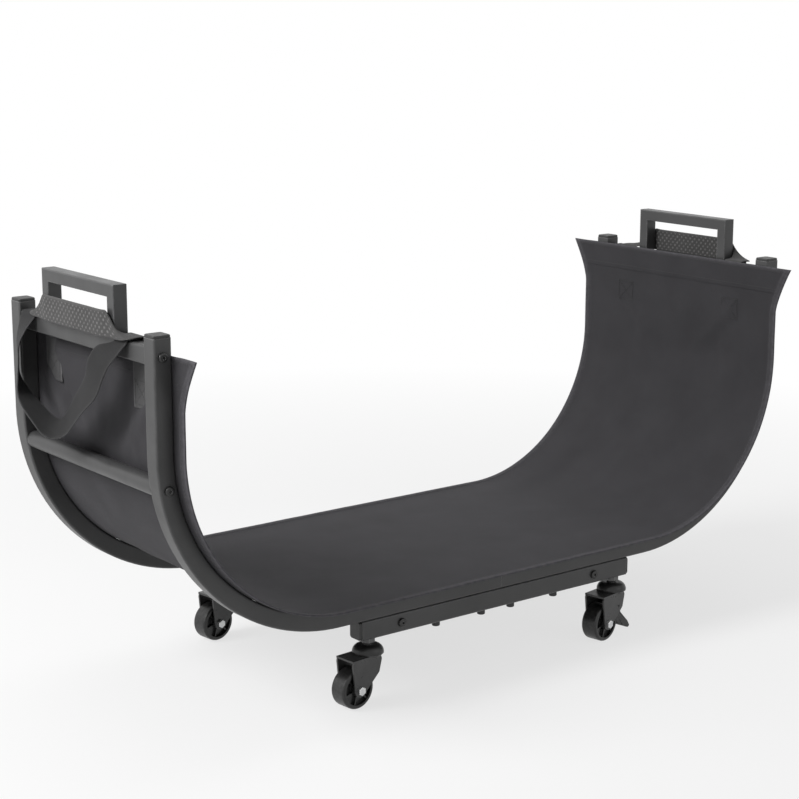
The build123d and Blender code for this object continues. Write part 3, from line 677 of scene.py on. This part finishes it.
# %% Make the long straps
SIDES = (("left", -1), ("right", 1))
WEBBING_WIDTH, STRAP_THICK = 0.038, 0.0018
LIE = 485.4
STRAP = [
    (489, -102, LIE, 0, -1, 0), (497, -101.5, LIE + 0.1, 0, -1, 0), (504.5, -101, LIE + 0.2, 0, -1, 0),
    (507.4, -100.5, LIE - 0.7, 0, -1, 0), (508.2, -99.5, 480.7, 0, -1, 0),
    (512.5, -95, 476, 0, -1, -0.12), (516.5, -84.5, 469.5, 0, -0.95, -0.3),
    (518.5, -72, 460, 0, -0.92, -0.4), (520.5, -60, 443, 0, -0.88, -0.47),
    (521, -50, 424, 0.12, -0.82, -0.56), (520.5, -28, 406, 0.3, -0.62, -0.72),
    (519, -6, 388, 0.36, -0.56, -0.74), (519, 14, 370, 0.44, -0.51, -0.74),
    (522.5, 27, 361.5, 0.65, -0.42, -0.62), (526.5, 38, 360, 0.85, -0.35, -0.35),
    (528.5, 56, 366, 0.93, -0.3, 0), (528, 83, 377, 0.93, -0.27, 0.2),
    (524.5, 115, 390, 0.75, -0.65, 0.1), (520, 135, 405, 0.5, -0.87, 0),
    (519, 136, 426, 0.45, -0.89, 0), (518.5, 136, 447, 0.4, -0.92, 0), (515, 130, 466, 0.25, -0.97, 0),
    (507.9, 127, 480.7, 0, -1, 0), (507.4, 126, LIE - 0.7, 0, -1, 0), (504.5, 125, LIE + 0.2, 0, -1, 0),
    (497, 125, LIE + 0.1, 0, -1, 0), (489, 125, LIE, 0, -1, 0)]
SQUEEZED = [(0, 0.7), (0.055, 0.7), (0.11, 1.0), (0.90, 1.0), (0.95, 0.9), (1, 0.9)]
straps = {name: band(f"tote_long_strap_{name}", mirrored(STRAP, side), WEBBING_WIDTH, STRAP_THICK,
                     webbing_cloth, widths=SQUEEZED) for name, side in SIDES}

# %% [markdown]
# ## The grips
# Each grip is one long soft band. It rises from the tabs, folds over the crossbar, turns on edge
# and stands along the bar as a padded handhold. The padding is a matter of thickness: thin at the
# two feet and thick between them. The small grip dots are real too: a fine grid is raised by a
# product of two cosines, which makes staggered rows of round dots on both faces.

# %% Make the grips
GRIP_X, GRIP_Z = 511.1, 498.4
FOOT = [
    (485.5, 106, 470.1, 0, 1, 0), (485.5, 106, 482, 0, 1, 0), (486.0, 106, 485.4, 0, 1, 0),
    (489.5, 106, 488.1, 0, 1, 0), (497, 106, 488.4, 0, 1, 0), (504.5, 105.5, 489.4, 0.03, 1, -0.1),
    (510.4, 101, 491.8, 0.04, 0.93, -0.36), (512.0, 92, 496.0, 0.02, 0.66, -0.75),
    (GRIP_X + 1.6, 80, 499.4, 0, 0.30, -0.95), (GRIP_X + 1.9, 64, GRIP_Z, 0, 0.05, -1),
    (GRIP_X + 1.9, 32, GRIP_Z, 0, 0, -1)]
DOT_PITCH, DOT_HEIGHT = 0.0088, 0.0007
GRIP_WIDTH = 0.032
GRIP_ROWS, GRIP_COLUMNS = 470, 57
PAD_FULL, PAD_END = 0.064, 0.084
EDGE_THICK, PAD_THICK = 0.0009, 0.0020
DOTS_ACROSS, DOTS_ALONG = 0.0140, 0.090


def front_and_back(stations):
    """The same stations at +y and, turned round, at -y."""
    return stations, [(x, -y, z, a, -b, c) for x, y, z, a, b, c in stations]


def grip(name, side):
    back, front = front_and_back(FOOT)
    stations = mirrored(back + [(GRIP_X + 1.9, 0, GRIP_Z, 0, 0, -1)] + front[::-1], side)
    rows, length = smooth_through(stations, GRIP_ROWS)
    centre, way = rows[:, :3] / 1000, rows[:, 3:6]
    way /= np.linalg.norm(way, axis=1, keepdims=True)
    along = np.linspace(-0.5, 0.5, len(rows)) * length / 1000
    turn = np.linspace(-1, 1, GRIP_COLUMNS)
    reach = GRIP_WIDTH / 2 * turn
    grid = centre[:, None, :] + way[:, None, :] * reach[None, :, None]
    padding = 1 - smooth_step(np.abs(along), PAD_FULL, PAD_END)
    edge = np.sqrt(np.clip(1 - np.clip((np.abs(turn) - 0.84) / 0.16, 0, 1) ** 2, 0.03, 1))
    dots = smooth_step(np.cos(2 * math.pi * along / DOT_PITCH)[:, None]
                       * np.cos(2 * math.pi * reach / DOT_PITCH)[None, :], 0.15, 0.8)
    field = smooth_step(DOTS_ACROSS - np.abs(reach), 0, 0.0012)[None, :] * (
        1 - smooth_step(np.abs(along), DOTS_ALONG, DOTS_ALONG + 0.004))[:, None]
    ends = 0.5 + 0.5 * smooth_step(along[-1] - np.abs(along), 0.0, 0.0012)
    half = ((EDGE_THICK + PAD_THICK * padding) * ends)[:, None] * edge[None, :]
    half = half + DOT_HEIGHT * (0.4 + 0.6 * padding)[:, None] * dots * field
    u = np.tile(reach[None, :], (len(rows), 1))
    v = np.tile(along[:, None], (1, len(turn)))
    wear = np.clip(0.6 * (1 - edge)[None, :] + 0.75 * dots * field, 0, 1)
    return cloth_shell(name, grid, half, half, u, v, wear, grip_cloth)


grips = {name: grip(f"tote_grip_{name}", side) for name, side in SIDES}

# %% Make the tabs
TAB_X, TAB_Y, TAB_LOW, TAB_HIGH = 485.4, 106.0, 401.0, 470.0
TAB_THICK = 0.0015
TAB = [(TAB_X, TAB_Y, z, 0, 1, 0) for z in (TAB_LOW, 424, 447, TAB_HIGH)]
tabs = {}
for name, side in SIDES:
    for place, stations in zip(("back", "front"), front_and_back(TAB)):
        tabs[name, place] = band(f"tote_tab_{name}_{place}", mirrored(stations, side), WEBBING_WIDTH,
                                 TAB_THICK, tab_cloth_painted_lit)

# %% [markdown]
# ## Stitches
# A line of stitching is a short thread bead repeated along a path, so it is a job for Geometry
# Nodes. The tree takes a line of edges, turns it into a curve, sets a bead on it every few
# millimetres with its long side along the seam, and realises them. The seam paths are read off
# the finished cloth, so the beads lie on it.


# %% Build the stitching tree
def stitching_tree():
    tree = bpy.data.node_groups.new("stitched_seam", "GeometryNodeTree")
    face = tree.interface
    face.new_socket("Geometry", in_out="INPUT", socket_type="NodeSocketGeometry")
    for label, value in (("Stitch pitch", 0.0045), ("Stitch length", 0.0032), ("Thread radius", 0.00045)):
        socket = face.new_socket(label, in_out="INPUT", socket_type="NodeSocketFloat")
        socket.default_value = value
    face.new_socket("Geometry", in_out="OUTPUT", socket_type="NodeSocketGeometry")

    def add(kind, **values):
        node = tree.nodes.new(kind)
        for label, value in values.items():
            socket = node.inputs[label.replace("_", " ")]
            if isinstance(value, bpy.types.NodeSocket):
                tree.links.new(value, socket)
            else:
                socket.default_value = value
        return node

    start = tree.nodes.new("NodeGroupInput")
    curve = add("GeometryNodeMeshToCurve", Mesh=start.outputs["Geometry"])
    spaced = tree.nodes.new("GeometryNodeResampleCurve")
    spaced.mode = "LENGTH"
    tree.links.new(curve.outputs[0], spaced.inputs["Curve"])
    tree.links.new(start.outputs["Stitch pitch"], spaced.inputs["Length"])
    bead = add("GeometryNodeMeshUVSphere", Segments=6, Rings=5, Radius=1.0)
    size = add("ShaderNodeCombineXYZ", X=start.outputs["Thread radius"], Y=start.outputs["Thread radius"])
    half = tree.nodes.new("ShaderNodeMath")
    half.operation = "MULTIPLY"
    tree.links.new(start.outputs["Stitch length"], half.inputs[0])
    half.inputs[1].default_value = 0.5
    tree.links.new(half.outputs[0], size.inputs["Z"])
    shaped = add("GeometryNodeTransform", Geometry=bead.outputs[0], Scale=size.outputs[0])
    turned = add("FunctionNodeAlignRotationToVector", Vector=add("GeometryNodeInputTangent").outputs[0])
    turned.axis = "Z"
    placed = add("GeometryNodeInstanceOnPoints", Points=spaced.outputs[0], Instance=shaped.outputs[0],
                 Rotation=turned.outputs[0])
    real = add("GeometryNodeRealizeInstances", Geometry=placed.outputs[0])
    smooth = add("GeometryNodeSetShadeSmooth", Geometry=real.outputs[0])
    dyed = add("GeometryNodeSetMaterial", Geometry=smooth.outputs[0])
    dyed.inputs["Material"].default_value = thread_black
    end = tree.nodes.new("NodeGroupOutput")
    tree.links.new(dyed.outputs[0], end.inputs[0])
    return tree


seam_tree = stitching_tree()
print("stitching tree:", len(seam_tree.nodes), "nodes")


def stitched(name, lines, pitch=0.0045, length=0.0032, radius=0.00042):
    """Sew beads of thread along lines of points and return them as one plain mesh."""
    points, edges = [], []
    for line in lines:
        first = len(points)
        points.extend([tuple(p) for p in line])
        edges.extend((first + i, first + i + 1) for i in range(len(line) - 1))
    mesh = bpy.data.meshes.new(name + "_path")
    mesh.from_pydata(points, edges, [])
    piece = bpy.data.objects.new(name + "_path", mesh)
    bpy.context.scene.collection.objects.link(piece)
    modifier = piece.modifiers.new("sew", "NODES")
    modifier.node_group = seam_tree
    sizes = {"Stitch pitch": pitch, "Stitch length": length, "Thread radius": radius}
    for item in seam_tree.interface.items_tree:
        if item.in_out == "INPUT" and item.name in sizes:
            modifier[item.identifier] = sizes[item.name]
    graph = bpy.context.evaluated_depsgraph_get()
    sewn = bpy.data.meshes.new_from_object(piece.evaluated_get(graph))
    sewn.name = name
    bpy.data.objects.remove(piece)
    result = bpy.data.objects.new(name, sewn)
    bpy.context.scene.collection.objects.link(result)
    print(f"{name}: {len(sewn.polygons)} faces of thread")
    return result


# %% Sew the hems of the trough
RIM_SEAM, SIDE_SEAM = 0.005, 0.0082
HEM_SEAM = HEM - 0.004
normal = grid_normals(grid)
outer_skin = grid + normal * outside[..., None]
inner_skin = grid - normal * inside[..., None]


def column_at(distance_in, sign):
    return int(np.argmin(np.abs(spread * sign - (HALF_WIDTH - distance_in))))


def row_at(distance):
    return int(np.argmin(np.abs(stops - distance)))


seams = []
for skin in (outer_skin, inner_skin):
    for sign in (-1, 1):
        seams.append(skin[row_at(HEM):row_at(PATH_LENGTH - HEM) + 1, column_at(SIDE_SEAM, sign)])
    for distance in (RIM_SEAM, HEM_SEAM, PATH_LENGTH - RIM_SEAM, PATH_LENGTH - HEM_SEAM):
        seams.append(skin[row_at(distance), 4:-4])
hem_stitches = stitched("tote_hem_stitches", seams)


# %% Box stitches on the tabs
TAB_FACES = (0.4862, 0.4827)
BOX_LOW, BOX_HIGH, BOX_HALF = TAB_LOW + 5, TAB_LOW + 33, 0.0145


def box_stitch(x, y):
    """A rectangle of stitches with both diagonals, on a plane of constant x."""
    low, high = BOX_LOW / 1000, BOX_HIGH / 1000
    near, far = y - BOX_HALF, y + BOX_HALF
    corners = [(x, near, low), (x, far, low), (x, far, high), (x, near, high)]
    ring = corners + corners[:1]
    return [ring, [corners[0], corners[2]], [corners[1], corners[3]]]


tab_seams = []
for side in (-1, 1):
    for y_sign in (-1, 1):
        for x in TAB_FACES:
            tab_seams += box_stitch(side * x, y_sign * TAB_Y / 1000)
tab_stitches = stitched("tote_tab_stitches", tab_seams, pitch=0.0035, length=0.0026)

# %% Tell the frame what each piece is
TOTE = "tote"
sewn_pieces = [trough, hem_stitches, tab_stitches, *straps.values(), *grips.values(), *tabs.values()]
for piece in sewn_pieces:
    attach(piece, TOTE)
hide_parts("tote_canvas")
for name in ("left", "right"):
    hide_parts(f"tote_strap_{name}")
    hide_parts(f"tote_grip_pad_{name}", f"tote_grip_webbing_{name}")
    for place in ("front", "back"):
        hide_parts(f"tote_tabs_{name}")
print("sewn pieces:", len(sewn_pieces))

# %% [markdown]
# ## Floor and light
# The photograph has a plain white ground without a horizon. The floor is pale and matt. Seen by the
# camera it is mostly white of its own, so it keeps only a soft part of the rack's shadow, and it
# turns fully white further out, where it meets the white surroundings. One broad key light stands
# near the left end and a little behind it, so the left faces are the brightest, the front faces
# stay dark, and the light falls off towards the right. A weak fill stands in front and a broad,
# soft lamp hangs above.


# %% Lay the floor and hang the lamps
FLOOR_HALF = 9
SHADOW_NEAR, SHADOW_FAR, NEAR_WHITE = 0.75, 1.9, 0.70
SURROUND_LIGHT = 0.22


def seen_directly(finish):
    """1 where the camera, a mirror or glass looks at the surface, 0 where it only lights others."""
    rays = finish.add("LightPath").outputs
    seen = finish.maths("MAXIMUM", rays["Is Camera Ray"], rays["Is Glossy Ray"])
    return finish.maths("MAXIMUM", seen, rays["Is Transmission Ray"])


def pale_floor():
    finish = Finish("pale_floor", specular=0.2)
    place = finish.object_place()
    tone = finish.ramp(finish.blotches(place, 0.9), 0.3, 0.7)
    own = finish.mix(tone, (0.86, 0.86, 0.86, 1), (0.885, 0.885, 0.885, 1))
    distance = finish.add("VectorMath", {"operation": "LENGTH"}, i0=place).outputs["Value"]
    white_share = finish.ramp(distance, SHADOW_NEAR, SHADOW_FAR, NEAR_WHITE, 1.0)
    glow = finish.add("Emission", Color=(1, 1, 1, 1), Strength=1.0)
    blend = finish.add("MixShader", i0=finish.maths("MULTIPLY", white_share, seen_directly(finish)),
                       i1=finish.shader.outputs[0], i2=glow.outputs[0])
    finish.feed(finish.tree.nodes["Material Output"].inputs["Surface"], blend.outputs[0])
    relief = finish.bump(finish.blotches(place, 0.01), 0.0001, 0.2)
    return finish.set(Base_Color=own, Roughness=0.75, Normal=relief)


mesh = bpy.data.meshes.new("studio_floor")
mesh.from_pydata([(x * FLOOR_HALF, y * FLOOR_HALF, 0) for x, y in ((-1, -1), (1, -1), (1, 1), (-1, 1))],
                 [], [(0, 1, 2, 3)])
mesh.materials.append(pale_floor())
floor = bpy.data.objects.new("studio_floor", mesh)
bpy.context.scene.collection.objects.link(floor)


def softbox(name, place, aim, size, power):
    lamp = bpy.data.lights.new(name, "AREA")
    lamp.shape = "RECTANGLE"
    lamp.size, lamp.size_y = size
    lamp.energy = power
    box = bpy.data.objects.new(name, lamp)
    box.location = place
    box.rotation_euler = (Vector(aim) - Vector(place)).to_track_quat("-Z", "Y").to_euler()
    bpy.context.scene.collection.objects.link(box)


softbox("key_softbox", place=(-2.2, 0.45, 1.9), aim=(-0.5, 0, 0.35), size=(1.2, 1.2), power=64)
softbox("fill_softbox", place=(1.4, -2.8, 1.6), aim=(0, 0, 0.25), size=(1.6, 1.2), power=5)
softbox("top_softbox", place=(0.2, 0.6, 2.8), aim=(0, 0, 0.2), size=(2.4, 1.4), power=14)

world = bpy.data.worlds.new("studio_surround")
bpy.context.scene.world = world
world.use_nodes = True
links, world_nodes = world.node_tree.links, world.node_tree.nodes
around = world_nodes["Background"]
around.inputs[0].default_value = (1.0, 1.0, 1.0, 1.0)
light_path = world_nodes.new("ShaderNodeLightPath")
backdrop = world_nodes.new("ShaderNodeMapRange")
backdrop.inputs[3].default_value = SURROUND_LIGHT
backdrop.inputs[4].default_value = 1.0
seen = light_path.outputs["Is Camera Ray"]
for ray in ("Is Glossy Ray", "Is Transmission Ray"):
    either = world_nodes.new("ShaderNodeMath")
    either.operation = "MAXIMUM"
    links.new(seen, either.inputs[0])
    links.new(light_path.outputs[ray], either.inputs[1])
    seen = either.outputs[0]
links.new(seen, backdrop.inputs[0])
links.new(backdrop.outputs[0], around.inputs[1])
bpy.context.scene.view_settings.view_transform = "Standard"
print("lamps:", sorted(lamp.name for lamp in bpy.data.lights))
